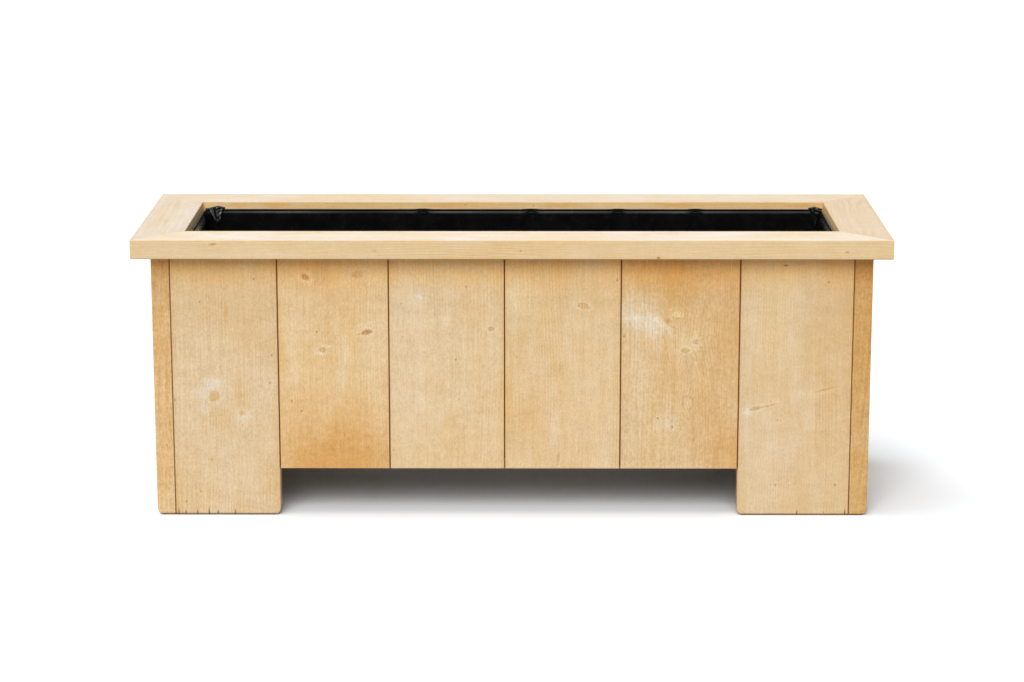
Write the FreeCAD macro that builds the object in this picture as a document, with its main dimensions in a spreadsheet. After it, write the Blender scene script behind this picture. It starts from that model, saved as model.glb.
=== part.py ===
import FreeCAD, Part
import math
import os
import re

import Sketcher

# Wooden planter box: upright boards nailed to two batten frames, a mitred rim, a slatted floor
# and a liner of thin film that is stapled to the rim and gathered at its corners.
# Millimetres. The origin is on the floor under the middle of the box, the front faces -Y, +Z is up.

SIZES = {
    # upright boards, from left to right as seen from outside
    "board_thickness": 31.0,
    "seam_gap": 1.0,
    "left_leg_width": 182.0,
    "board_1_width": 189.0,
    "board_2_width": 197.0,
    "board_3_width": 198.0,
    "board_4_width": 202.0,
    "right_leg_width": 193.0,
    "end_board_width": 194.5,
    "leg_height": 458.0,
    "foot_clearance": 84.0,
    "foot_radius": 12.0,
    "arris": 0.8,
    # rim, which covers the boards and the battens and stands past both
    "rim_width": 84.0,
    "rim_thickness": 33.0,
    "rim_lip": 0.5,
    "mitre_gap": 0.3,
    # batten frames
    "rail_thickness": 22.0,
    "rail_height": 45.0,
    "rail_lift": 10.0,
    # floor boards
    "floor_thickness": 20.0,
    "floor_gap": 8.0,
    "floor_end_gap": 1.5,
    # film liner
    "film_thickness": 0.8,
    "liner_clearance": 0.3,
    "liner_drop": 14.0,
    "liner_corner_radius": 9.0,
    "hem_height": 9.0,
    "hem_thickness": 2.8,
    "drain_radius": 5.0,
    # pleat down each corner of the liner, and the ear that flops over it
    "pleat_head": 24.0,
    "pleat_foot": 12.0,
    "pleat_fold": 4.0,
    "ear_inset": 5.0,
    "ear_width": 32.0,
    "ear_depth": 10.0,
    "ear_drop": 26.0,
    "ear_rise": 3.0,
    "ear_tip": 7.0,
    # brads and staples
    "brad_width": 1.8,
    "brad_tip": 4.0,
    "short_brad_length": 45.0,
    "long_brad_length": 63.0,
    "brad_edge": 40.0,
    "brad_height": 12.0,
    "rail_end_margin": 25.0,
    "rim_end_brad_offset": 72.0,
    "staple_width": 10.0,
    "staple_wire": 0.9,
    "staple_bite": 6.0,
    "staple_drop": 4.5,
    "hole_clearance": 0.1,
}

FLOOR_COUNT = 6
# Staples as shares of half the liner's length and depth, put in by eye and so uneven.
LONG_STAPLES = (-0.86, -0.6, -0.29, 0.06, 0.34, 0.59, 0.87)
SHORT_STAPLES = (-0.42, 0.42)

WALL_BOARDS = ("left_leg", "board_1", "board_2", "board_3", "board_4", "right_leg")
SIDE_ANGLES = {"front": 0, "right": 90, "back": 180, "left": -90}
LONG_SIDES = ("front", "back")
SHORT_SIDES = ("left", "right")
X_AXIS = FreeCAD.Vector(1, 0, 0)
Y_AXIS = FreeCAD.Vector(0, 1, 0)
Z_AXIS = FreeCAD.Vector(0, 0, 1)
TOUCHING = 0.001

# Sizes that follow from the driving ones, as formulas.
WALL_LENGTH = "(" + " + ".join(f"{name}_width" for name in WALL_BOARDS) + " + 7*seam_gap)"
BODY_LENGTH = f"({WALL_LENGTH} + 2*board_thickness)"
BODY_DEPTH = "(2*end_board_width + seam_gap)"
RAIL_INSET = "(board_thickness + rail_thickness)"
RAIL_MIDDLE = "(board_thickness + rail_thickness/2)"
SHORT_RAIL_LENGTH = f"({BODY_DEPTH} - 2*{RAIL_INSET})"
TOP_RAIL_BOTTOM = "(leg_height - rail_height)"
BOTTOM_RAIL_BOTTOM = "(foot_clearance + rail_lift)"
RIM_OVERHANG = f"(rim_width - {RAIL_INSET} - rim_lip)"
RIM_LENGTH = f"({BODY_LENGTH} + 2*{RIM_OVERHANG})"
RIM_DEPTH = f"({BODY_DEPTH} + 2*{RIM_OVERHANG})"
FLOOR_BOTTOM = f"({BOTTOM_RAIL_BOTTOM} + rail_height)"
FLOOR_TOP = f"({FLOOR_BOTTOM} + floor_thickness)"
FLOOR_WIDTH = f"(({WALL_LENGTH} - {FLOOR_COUNT + 1}*floor_gap)/{FLOOR_COUNT})"
FLOOR_LENGTH = f"({BODY_DEPTH} - 2*board_thickness - 2*floor_end_gap)"
LINER_INSET = f"({RAIL_INSET} + rim_lip + liner_clearance)"
LINER_HALF_LENGTH = f"({BODY_LENGTH}/2 - {LINER_INSET})"
LINER_HALF_DEPTH = f"({BODY_DEPTH}/2 - {LINER_INSET})"
LINER_TOP = "(leg_height + rim_thickness - liner_drop)"
LINER_HEIGHT = f"({LINER_TOP} - {FLOOR_TOP})"
STAPLE_HEIGHT = f"({LINER_TOP} - staple_drop)"
STAPLE_LEG = "(hem_thickness + liner_clearance + staple_bite)"

doc = FreeCAD.newDocument("planter_box")
sheet = doc.addObject("Spreadsheet::Sheet", "sizes")
for row, (size_name, size) in enumerate(SIZES.items(), 1):
    sheet.set(f"A{row}", size_name)
    sheet.set(f"B{row}", str(size))
    sheet.setAlias(f"B{row}", size_name)
doc.recompute()

sub_parts = []


def formula(text):
    """Turn each size's name in the text into a reference to its cell."""
    def cell(word):
        return f"sizes.{word.group()}" if word.group() in SIZES else word.group()
    return re.sub(r"[a-z_][a-z_0-9]*", cell, text)


def value(text):
    return float(sheet.evalExpression(formula(text)))


def bind(target, prop, text):
    target.setExpression(prop, formula(text))


def turn_of(side):
    return FreeCAD.Rotation(Z_AXIS, SIDE_ANGLES[side])


def inward(side):
    return turn_of(side).multVec(Y_AXIS)


def place(side, along, inset, height):
    """X, Y and Z formulas of a point of a wall, along it from its left end as seen from outside."""
    right = turn_of(side).multVec(X_AXIS)
    inner = inward(side)
    span, reach = (BODY_LENGTH, BODY_DEPTH) if side in LONG_SIDES else (BODY_DEPTH, BODY_LENGTH)
    x = f"{round(right.x)}*({along} - {span}/2) + {round(inner.x)}*({inset} - {reach}/2)"
    y = f"{round(right.y)}*({along} - {span}/2) + {round(inner.y)}*({inset} - {reach}/2)"
    return x, y, height


def point(side, along, inset, height):
    return FreeCAD.Vector(*(value(text) for text in place(side, along, inset, height)))


# Sketches and features

def new_body(name, side, where):
    """A body whose X runs along a wall, Y into the box and Z up."""
    body = doc.addObject("PartDesign::Body", name)
    body.Placement = FreeCAD.Placement(FreeCAD.Vector(), turn_of(side))
    for axis, text in zip("xyz", where):
        bind(body, f"Placement.Base.{axis}", text)
    return body


def new_sketch(body, name, role, offset="0"):
    """A sketch on one of the body's own origin planes, moved along the plane's normal."""
    sketch = body.newObject("Sketcher::SketchObject", f"{body.Name}_{name}")
    plane = next(feature for feature in body.Origin.OriginFeatures if feature.Role == role)
    sketch.AttachmentSupport = [(plane, "")]
    sketch.MapMode = "FlatFace"
    bind(sketch, "AttachmentOffset.Base.z", offset)
    return sketch


def add_size(sketch, constraint, text):
    number = sketch.addConstraint(constraint)
    bind(sketch, f"Constraints[{number}]", text)


def fix_point(sketch, geometry, position, x, y):
    """Tie a point of the sketch to the origin by two bound distances."""
    add_size(sketch, Sketcher.Constraint("DistanceX", -1, 1, geometry, position, value(x)), x)
    add_size(sketch, Sketcher.Constraint("DistanceY", -1, 1, geometry, position, value(y)), y)


def polygon(sketch, corners):
    """A closed outline through corners given as pairs of formulas."""
    spots = [FreeCAD.Vector(value(x), value(y), 0) for x, y in corners]
    count = len(corners)
    for number in range(count):
        sketch.addGeometry(Part.LineSegment(spots[number], spots[(number + 1) % count]))
    for number in range(count):
        sketch.addConstraint(Sketcher.Constraint("Coincident", number, 2, (number + 1) % count, 1))
    for number, (x, y) in enumerate(corners):
        fix_point(sketch, number, 1, x, y)


def rectangle(sketch, width, height):
    polygon(sketch, [("0", "0"), (width, "0"), (width, height), ("0", height)])


def rounded_rectangle(sketch, half_width, half_height, radius):
    """A rectangle about the origin whose corners are arcs."""
    signs = ((1, 1), (-1, 1), (-1, -1), (1, -1))
    middles = [(f"{sx}*({half_width} - {radius})", f"{sy}*({half_height} - {radius})") for sx, sy in signs]
    for number, (x, y) in enumerate(middles):
        circle = Part.Circle(FreeCAD.Vector(value(x), value(y), 0), Z_AXIS, value(radius))
        sketch.addGeometry(Part.ArcOfCircle(circle, number * math.pi / 2, (number + 1) * math.pi / 2))
    for number in range(4):
        following = (number + 1) % 4
        side = Part.LineSegment(sketch.Geometry[number].EndPoint, sketch.Geometry[following].StartPoint)
        line = sketch.addGeometry(side)
        sketch.addConstraint(Sketcher.Constraint("Tangent", number, 2, line, 1))
        sketch.addConstraint(Sketcher.Constraint("Tangent", line, 2, following, 1))
    for number, (x, y) in enumerate(middles):
        fix_point(sketch, number, 3, x, y)
    add_size(sketch, Sketcher.Constraint("Radius", 0, value(radius)), radius)


def circles(sketch, centres, radius):
    for x, y in centres:
        middle = FreeCAD.Vector(value(x), value(y), 0)
        number = sketch.addGeometry(Part.Circle(middle, Z_AXIS, value(radius)))
        fix_point(sketch, number, 3, x, y)
        add_size(sketch, Sketcher.Constraint("Radius", number, value(radius)), radius)


def pad(body, name, sketch, length, backwards=False):
    feature = body.newObject("PartDesign::Pad", f"{body.Name}_{name}")
    feature.Profile = sketch
    feature.Reversed = backwards
    bind(feature, "Length", length)
    doc.recompute()


def pocket(body, name, sketch, depth):
    before = body.Tip.Shape.Volume
    feature = body.newObject("PartDesign::Pocket", f"{body.Name}_{name}")
    feature.Profile = sketch
    bind(feature, "Length", depth)
    doc.recompute()
    if feature.Shape.Volume >= before:
        raise ValueError(f"{feature.Name} cuts nothing")


def dress_edges(body, name, kind, size_property, size_text, wanted):
    """Fillet or chamfer the edges that the test wanted picks."""
    base = body.Tip
    names = [f"Edge{number}" for number, edge in enumerate(base.Shape.Edges, 1) if wanted(edge)]
    feature = body.newObject(f"PartDesign::{kind}", f"{body.Name}_{name}")
    feature.Base = (base, names)
    bind(feature, size_property, size_text)
    doc.recompute()


def runs_along(axis):
    """A test for straight edges that run along an axis."""
    def test(edge):
        return isinstance(edge.Curve, Part.Line) and abs(edge.Curve.Direction.dot(axis)) > 1 - TOUCHING
    return test


def ease_edges(body, axis):
    """Take the sharp arris off the body's long edges."""
    dress_edges(body, "arris", "Chamfer", "Size", "arris", runs_along(axis))


# Where pieces lie along a wall, from its left end as seen from outside

def wall_start(number):
    earlier = "".join(f" + {name}_width + seam_gap" for name in WALL_BOARDS[:number])
    return f"(board_thickness + seam_gap{earlier})"


def end_start(number):
    return f"({number}*(end_board_width + seam_gap))"


def floor_start(number):
    return f"(board_thickness + floor_gap + {number}*({FLOOR_WIDTH} + floor_gap))"


def board_brads(side):
    """Two brads for each upright board of a wall, clear of the board's edges and the battens' ends."""
    if side in LONG_SIDES:
        starts = [wall_start(number) for number in range(len(WALL_BOARDS))]
        return [place_along for start, name in zip(starts, WALL_BOARDS)
                for place_along in (f"({start} + brad_edge)", f"({start} + {name}_width - brad_edge)")]
    outer = f"({RAIL_INSET} + rail_end_margin)"
    inner = "(end_board_width - brad_edge)"
    return [outer, inner, f"({BODY_DEPTH} - {inner})", f"({BODY_DEPTH} - {outer})"]


def rim_brads(side):
    if side in LONG_SIDES:
        return [f"({wall_start(number)} + {name}_width/2)" for number, name in enumerate(WALL_BOARDS)]
    return [f"({BODY_DEPTH}/2 {sign} rim_end_brad_offset)" for sign in "-+"]


def floor_brads():
    return [f"({floor_start(number)} + {FLOOR_WIDTH}/2)" for number in range(FLOOR_COUNT)]


def staple_middles(side):
    if side in LONG_SIDES:
        sign = 1 if side == "front" else -1
        return [f"({BODY_LENGTH}/2 + {sign * share}*{LINER_HALF_LENGTH})" for share in LONG_STAPLES]
    return [f"({BODY_DEPTH}/2 + {share}*{LINER_HALF_DEPTH})" for share in SHORT_STAPLES]


# Fasteners, and the holes that they fill

def brad(length, room=0.0):
    """A headless brad with a chisel tip, which points up Z from its blunt end at the origin."""
    half = value("brad_width") / 2 + room
    shoulder = value(f"{length} - brad_tip")
    tip = value(length) + room
    outline = [(-half, 0), (half, 0), (half, shoulder), (0, tip), (-half, shoulder), (-half, 0)]
    face = Part.Face(Part.makePolygon([FreeCAD.Vector(x, -half, z) for x, z in outline]))
    return face.extrude(2 * half * Y_AXIS)


def brad_groups():
    """The length of each group's brads, with the place of each head and the way that it points."""
    rows = [f"({bottom} + brad_height)" for bottom in (BOTTOM_RAIL_BOTTOM, TOP_RAIL_BOTTOM)]
    middles = [f"({bottom} + rail_height/2)" for bottom in (BOTTOM_RAIL_BOTTOM, TOP_RAIL_BOTTOM)]
    frame_ends = (RAIL_MIDDLE, f"({BODY_LENGTH} - {RAIL_MIDDLE})")
    floor_ends = (RAIL_MIDDLE, f"({BODY_DEPTH} - {RAIL_MIDDLE})")
    return {
        "board_brads": ("short_brad_length", [
            (point(side, along, RAIL_INSET, row), -inward(side))
            for side in SIDE_ANGLES for along in board_brads(side) for row in rows]),
        "frame_brads": ("long_brad_length", [
            (point(side, along, "board_thickness", middle), inward(side))
            for side in LONG_SIDES for along in frame_ends for middle in middles]),
        "rim_brads": ("long_brad_length", [
            (point(side, along, RAIL_MIDDLE, TOP_RAIL_BOTTOM), Z_AXIS)
            for side in SIDE_ANGLES for along in rim_brads(side)]),
        "floor_brads": ("short_brad_length", [
            (point("front", along, inset, FLOOR_TOP), -Z_AXIS)
            for along in floor_brads() for inset in floor_ends]),
    }


def staple_bars(room=0.0):
    """The crown and the two legs of a staple as boxes: the crown along X, the legs pointing up Y."""
    wire = value("staple_wire")
    width = value("staple_width")
    leg = value(STAPLE_LEG)
    corner = FreeCAD.Vector(-width / 2, -wire, -wire / 2)
    spare = FreeCAD.Vector(room, 0, room)
    crown = Part.makeBox(width, wire, wire, corner)
    legs = [Part.makeBox(wire + 2 * room, leg + wire + room, wire + 2 * room, corner + shift * X_AXIS - spare)
            for shift in (0, width - wire)]
    return crown, legs


def aimed(solid, head, direction):
    copy = solid.copy()
    copy.Placement = FreeCAD.Placement(head, FreeCAD.Rotation(Z_AXIS, direction))
    return copy


def add_shape(name, solids):
    """Separate solids held together as one object of the document."""
    group = doc.addObject("Part::Feature", name)
    group.Shape = Part.makeCompound(solids)
    group.Placement = FreeCAD.Placement()
    return group


def make_fasteners():
    """Every brad and staple as groups of loose solids, and the room that they take up in other pieces."""
    room = value("hole_clearance")
    holes = []
    for name, (length, spots) in brad_groups().items():
        sub_parts.append(add_shape(name, [aimed(brad(length), *spot) for spot in spots]))
        holes += [aimed(brad(length, room), *spot) for spot in spots]
    crown, legs = staple_bars()
    staple = crown.fuse(legs).removeSplitter()
    leg_holes = staple_bars(room)[1]
    staples = []
    for side in SIDE_ANGLES:
        turn = FreeCAD.Rotation(Z_AXIS, SIDE_ANGLES[side] + 180)
        for along in staple_middles(side):
            crown_place = point(side, along, f"({LINER_INSET} + hem_thickness)", STAPLE_HEIGHT)
            where = FreeCAD.Placement(crown_place, turn)
            staples.append(staple.transformed(where.toMatrix()))
            holes += [hole.transformed(where.toMatrix()) for hole in leg_holes]
    sub_parts.append(add_shape("liner_staples", staples))
    return add_shape("fastener_holes", holes)


def pierce(name, body):
    """Finish a sub-part: cut the fasteners' holes out of its blank."""
    piece = doc.addObject("Part::Cut", name)
    piece.Label = name
    piece.Base = body
    piece.Tool = fastener_holes
    doc.recompute()
    if piece.Shape.Volume >= body.Shape.Volume:
        raise ValueError(f"{name} has no holes")
    sub_parts.append(piece)


# Sub-parts

def make_upright(name, side, start, width, foot_edges=None):
    """An upright board. One with edges to round at its foot stands on the floor as a leg."""
    base = "0" if foot_edges else "foot_clearance"
    body = new_body(f"{name}_blank", side, place(side, start, "0", base))
    outline = new_sketch(body, "outline", "XZ_Plane")
    rectangle(outline, width, f"(leg_height - {base})")
    pad(body, "board", outline, "board_thickness", backwards=True)
    if foot_edges:
        dress_edges(body, "foot", "Fillet", "Radius", "foot_radius", foot_edges)
    ease_edges(body, Z_AXIS)
    pierce(name, body)


def inner_foot_edge(corner):
    """A test for the bottom edge through a leg's thickness, on the side away from the box's corner."""
    across = value(corner)

    def test(edge):
        middle = edge.CenterOfMass
        return runs_along(Y_AXIS)(edge) and abs(middle.x - across) < TOUCHING and abs(middle.z) < TOUCHING
    return test


def outer_foot_edge(edge):
    middle = edge.CenterOfMass
    return runs_along(X_AXIS)(edge) and abs(middle.y) < TOUCHING and abs(middle.z) < TOUCHING


def make_walls():
    for side in LONG_SIDES:
        for number, board in enumerate(WALL_BOARDS):
            width = f"{board}_width"
            if board.endswith("leg"):
                foot = inner_foot_edge(width if board == "left_leg" else "0")
                make_upright(f"{side}_{board}_board", side, wall_start(number), width, foot)
            else:
                make_upright(f"{side}_{board}", side, wall_start(number), width)
    for side in SHORT_SIDES:
        ends = ("back", "front") if side == "left" else ("front", "back")
        for number, end in enumerate(ends):
            make_upright(f"{side}_end_{end}_board", side, end_start(number), "end_board_width", outer_foot_edge)


def make_rail(level, side):
    """A batten inside a wall. The two long ones reach from end to end and the short ones fit between."""
    start, length = ("board_thickness", WALL_LENGTH) if side in LONG_SIDES else (RAIL_INSET, SHORT_RAIL_LENGTH)
    height = TOP_RAIL_BOTTOM if level == "top" else BOTTOM_RAIL_BOTTOM
    name = f"{level}_rail_{side}"
    body = new_body(f"{name}_blank", side, place(side, start, "board_thickness", height))
    outline = new_sketch(body, "outline", "XZ_Plane")
    rectangle(outline, length, "rail_height")
    pad(body, "batten", outline, "rail_thickness", backwards=True)
    pierce(name, body)


def make_rim(side):
    """A flat board over one wall, mitred at both ends."""
    length = RIM_LENGTH if side in LONG_SIDES else RIM_DEPTH
    outer = f"-{RIM_OVERHANG}"
    body = new_body(f"rim_{side}_blank", side, place(side, outer, outer, "leg_height"))
    outline = new_sketch(body, "outline", "XY_Plane")
    polygon(outline, [("mitre_gap", "0"), (f"({length} - mitre_gap)", "0"),
                      (f"({length} - rim_width - mitre_gap)", "rim_width"),
                      ("(rim_width + mitre_gap)", "rim_width")])
    pad(body, "board", outline, "rim_thickness")
    ease_edges(body, X_AXIS)
    pierce(f"rim_{side}", body)


def make_floor_board(number):
    """A board across the bottom battens."""
    name = f"floor_board_{number + 1}"
    where = place("front", floor_start(number), "(board_thickness + floor_end_gap)", FLOOR_BOTTOM)
    body = new_body(f"{name}_blank", "front", where)
    outline = new_sketch(body, "outline", "XY_Plane")
    rectangle(outline, FLOOR_WIDTH, FLOOR_LENGTH)
    pad(body, "board", outline, "floor_thickness")
    pierce(name, body)


def make_liner():
    """A tub of film with a folded hem, drain holes over the floor's gaps and gathered corners."""
    body = new_body("liner_film", "front", ("0", "0", FLOOR_TOP))
    outline = new_sketch(body, "outline", "XY_Plane")
    rounded_rectangle(outline, LINER_HALF_LENGTH, LINER_HALF_DEPTH, "liner_corner_radius")
    pad(body, "block", outline, LINER_HEIGHT)
    below_hem = f"({LINER_HEIGHT} - hem_height)"
    hollow(body, "mouth", LINER_HEIGHT, "hem_thickness", "hem_height")
    hollow(body, "tub", below_hem, "film_thickness", f"({below_hem} - film_thickness)")
    drains = new_sketch(body, "drains", "XY_Plane", "film_thickness")
    gaps = [f"({floor_start(number)} - floor_gap/2 - {BODY_LENGTH}/2)" for number in range(1, FLOOR_COUNT)]
    circles(drains, [(x, "0") for x in gaps], "drain_radius")
    pocket(body, "drain_holes", drains, "2*film_thickness")
    gather_corners(body)
    pierce("liner", body)


def hollow(body, name, level, wall, depth):
    """Cut the liner's inside down from a level, leaving a wall all round."""
    sketch = new_sketch(body, name, "XY_Plane", level)
    rounded_rectangle(sketch, f"({LINER_HALF_LENGTH} - {wall})", f"({LINER_HALF_DEPTH} - {wall})",
                      f"(liner_corner_radius - {wall})")
    pocket(body, f"{name}_cut", sketch, depth)


def corner_section(body, name, level, corners):
    """A section of the film gathered in the rear left corner, by its distances from the outer faces."""
    sketch = new_sketch(body, name, "XY_Plane", level)
    polygon(sketch, [(f"({along} - {LINER_HALF_LENGTH})", f"({LINER_HALF_DEPTH} - {deep})")
                     for along, deep in corners])
    return sketch


def pleat_section(body, name, level, leg):
    """The pleat slants across the corner, from one wall to the other."""
    skin = "film_thickness/2"
    inside = f"{leg} - pleat_fold"
    corners = [("liner_corner_radius/2", "liner_corner_radius/2"), (leg, skin), (leg, "2*film_thickness"),
               (inside, inside), ("2*film_thickness", leg), (skin, leg)]
    return corner_section(body, name, level, corners)


def ear_section(body, name, level, start, width, depth):
    """A section of the ear: flat on the wall, full near the corner and thinner at its far end."""
    skin = "film_thickness/2"
    end = f"({start} + {width})"
    corners = [(start, skin), (end, skin), (end, f"0.4*{depth}"),
               (f"({start} + 0.35*{width})", depth), (start, f"0.7*{depth}")]
    return corner_section(body, name, level, corners)


def gather_corners(body):
    """A pleat down the corner and an ear over it, lofted once and mirrored to the other three corners."""
    top = LINER_HEIGHT
    pleat = [pleat_section(body, "pleat_low", "film_thickness/2", "pleat_foot"),
             pleat_section(body, "pleat_high", f"({top} - hem_height/2)", "pleat_head")]
    ear = [ear_section(body, "ear_tip", f"({top} - ear_drop)", "(ear_inset + 0.4*ear_width - ear_tip/2)",
                       "ear_tip", "(hem_thickness + 0.2*ear_depth)"),
           ear_section(body, "ear_middle", f"({top} - 0.55*ear_drop)", "(ear_inset + 0.12*ear_width)",
                       "0.68*ear_width", "(hem_thickness + 0.8*ear_depth)"),
           ear_section(body, "ear_hem", f"({top} - 0.1*ear_drop)", "ear_inset",
                       "ear_width", "(hem_thickness + ear_depth)"),
           ear_section(body, "ear_top", f"({top} + ear_rise)", "(ear_inset + 0.2*ear_width)",
                       "0.7*ear_width", "(hem_thickness + 0.4*ear_depth)")]
    lofts = [add_loft(body, "pleat", pleat), add_loft(body, "ear", ear)]
    spread = body.newObject("PartDesign::MultiTransform", f"{body.Name}_corners")
    spread.Originals = lofts
    mirrors = []
    for role in ("YZ_Plane", "XZ_Plane"):
        mirror = body.newObject("PartDesign::Mirrored", f"{body.Name}_{role}_mirror")
        mirror.MirrorPlane = (next(f for f in body.Origin.OriginFeatures if f.Role == role), [""])
        mirrors.append(mirror)
    spread.Transformations = mirrors
    body.Tip = spread
    doc.recompute()


def add_loft(body, name, sections):
    loft = body.newObject("PartDesign::AdditiveLoft", f"{body.Name}_{name}")
    loft.Profile = sections[0]
    loft.Sections = sections[1:]
    loft.Ruled = True
    doc.recompute()
    return loft


fastener_holes = make_fasteners()
make_walls()
for level in ("top", "bottom"):
    for side in SIDE_ANGLES:
        make_rail(level, side)
for side in SIDE_ANGLES:
    make_rim(side)
for number in range(FLOOR_COUNT):
    make_floor_board(number)
make_liner()

doc.recompute()
for item in doc.Objects:
    if "Invalid" in item.State or "Error" in item.State:
        raise ValueError(f"{item.Label} did not compute: {item.State}")
for item in sub_parts:
    if item.Shape.isNull() or not item.Shape.isValid():
        raise ValueError(f"{item.Label} has no valid shape")

os.makedirs("parts", exist_ok=True)
for item in sub_parts:
    item.Shape.exportStep(f"parts/{item.Label}.step")
    print(item.Label, len(item.Shape.Solids), round(item.Shape.Volume))
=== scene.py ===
# A wooden planter box: pine boards under a mitred rim, and a liner of black film gathered at its corners.
# Lengths are in metres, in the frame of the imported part: front faces -Y, up is +Z.

import math
import random
from collections import namedtuple

import bmesh
import bpy
import numpy as np
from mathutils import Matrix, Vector, noise


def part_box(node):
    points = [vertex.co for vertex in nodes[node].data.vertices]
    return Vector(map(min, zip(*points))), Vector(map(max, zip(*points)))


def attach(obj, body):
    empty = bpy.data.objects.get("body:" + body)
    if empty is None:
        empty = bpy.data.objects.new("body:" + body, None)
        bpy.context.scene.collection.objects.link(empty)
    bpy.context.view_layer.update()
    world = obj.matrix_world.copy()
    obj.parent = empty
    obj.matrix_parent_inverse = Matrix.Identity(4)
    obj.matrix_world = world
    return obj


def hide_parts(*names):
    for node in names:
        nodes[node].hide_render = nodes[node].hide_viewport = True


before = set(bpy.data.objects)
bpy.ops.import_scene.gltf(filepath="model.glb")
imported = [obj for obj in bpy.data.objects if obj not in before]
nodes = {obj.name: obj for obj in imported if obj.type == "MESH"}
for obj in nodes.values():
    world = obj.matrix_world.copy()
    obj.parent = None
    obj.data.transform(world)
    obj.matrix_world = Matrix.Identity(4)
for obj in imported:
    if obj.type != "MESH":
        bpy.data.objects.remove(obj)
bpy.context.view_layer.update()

# Camera: its lens in pixels of the photo, its sensor in millimetres, its angles in radians
PHOTO_WIDTH = 1024
FOCAL_PIXELS = 2843
SENSOR_WIDTH = 36
CAMERA_PLACE = (0.0274, -4.936, 1.402)
CAMERA_PITCH = 0.2264
CAMERA_TURN = 0.0056
CAMERA_ROLL = 0.0005
CAMERA_SIGHT = 100

# Light: suns by where they stand and how wide they are, in degrees, and how bright they make the floor
Sun = namedtuple("Sun", "name azimuth elevation width floor_light")
SUNS = [
    Sun("front_softbox", -9, 38, 38, 0.363),
    Sun("left_softbox", -106, 54, 50, 0.2),
    Sun("top_softbox", -68, 77, 34, 0.265),
]
SKY_FRONT = 0.39
SKY_BACK = 0.16
SKY_TURN = 0.7
SKY_COLOUR = (0.94, 0.985, 1.05, 1.0)
FLOOR_SIZE = 40
FLOOR_SEEN = (1.145, 1.16, 1.18, 1.0)
FLOOR_BOUNCE = (0.42, 0.42, 0.42, 1.0)

# Axes of a board: across its width, through its thickness, along its grain
X, Y, Z = range(3)
LONG_WALL = (X, Y, Z)
SHORT_WALL = (Y, X, Z)
RIM_LONG = (Y, Z, X)
RIM_SHORT = (X, Z, Y)
RAIL_LONG = (Z, Y, X)
RAIL_SHORT = (Z, X, Y)
FLOOR_BOARD = (X, Z, Y)

# Levels of the box
FOOT_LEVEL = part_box("front_board_1")[0].z
RIM_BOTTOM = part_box("rim_front")[0].z
RIM_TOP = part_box("rim_front")[1].z

# Pine: what each part of the figure does to a board's own tone, and how far it shows
LATEWOOD_TINT = (0.91, 0.8, 0.62)
HONEY_TINT = (0.965, 0.86, 0.66)
CREAM_TINT = (1.03, 1.09, 1.22)
EDGE_TINT = (0.95, 0.84, 0.66)
HAIR_TINT = (0.84, 0.72, 0.56)
SPECK_TINT = (0.6, 0.44, 0.28)
END_GRAIN_TINT = (0.8, 0.68, 0.52)
HONEY_SHARE = 0.8
CREAM_SHARE = 0.8
RING_SHARE = 0.56
HAIR_SHARE = 0.52
SPECK_SHARE = 0.7
RING_WIDTH = 0.0042
PINE_ROUGHNESS = (0.52, 0.7)
PINE_SPECULAR = 0.3
PINE_RELIEF = 0.0004

# The fine figure: how strongly its parts show, and how much it changes red, green and blue
FINE_FIGURE = {"Fibre": 0.065, "Streak": 0.04, "Mottle": 0.05, "Sand": 0.085}
SANDY_PARTS = ("Mottle", "Sand")
FIGURE_HUE = (0.8, 1.15, 1.9)

# Waves a metre, across and along the grain
SHOWN_WAVES = (20, 9)
FIBRE_WAVES = (620, 24)
STREAK_WAVES = (170, 6)
HONEY_WAVES = (8, 3.2)
CREAM_WAVES = (13, 6)
MOTTLE_WAVES = (30, 55)
SAND_WAVES = (330, 210)
HAIR_WAVES = (430, 7)
SPECK_CELLS = (62, 62, 26)
KNOT_WAVES = (330, 330)
MARK_WAVES = (90, 90)
MARK_RAGGED = 0.55

# Painted shade: under the rim, in the seams, at the feet and along the rim's lower edge
RIM_SHADE_TINT = (1.03, 0.83, 0.49)
RIM_SHADE_DEPTH = 0.075
RIM_SHADE_FULL = 0.005
SEAM_SHADE_TINT = (0.5, 0.36, 0.2)
SEAM_HALF = 0.0013
SEAM_CORE = 0.4 * SEAM_HALF
SEAM_FADE = 0.004
FOOT_SHADE_TINT = (0.17, 0.12, 0.08)
FOOT_LINE = 0.005
FOOT_CORE = 0.0012
RIM_EDGE_SHADE_TINT = (0.3, 0.21, 0.13)
RIM_EDGE = 0.0024

# Marks on a board, by their middle across and along it; they turn clockwise, in degrees, seen from the front
Knot = namedtuple("Knot", "across along width height turn heart strength ring halo reach swirl")
Patch = namedtuple("Patch", "across along width height tint strength turn", defaults=[0])
BROWN_HEART = (0.62, 0.42, 0.24)
ORANGE_HEART = (0.95, 0.78, 0.55)
TAN_HEART = (0.84, 0.72, 0.58)
PALE_HEART = (1.1, 1.19, 1.24)
RING_TINT = (0.7, 0.5, 0.32)
ORANGE = (0.93, 0.76, 0.5)
HONEY = (0.96, 0.86, 0.66)
BROWN = (0.6, 0.42, 0.26)
DARK = (0.25, 0.16, 0.1)
PALE = (1.07, 1.22, 1.56)
YELLOW = (1.05, 1.08, 1.06)
CREAM = (1.1, 1.18, 1.22)
CLOUD = (1.06, 1.19, 1.44)
AMBER = (0.9, 0.66, 0.38)


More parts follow.
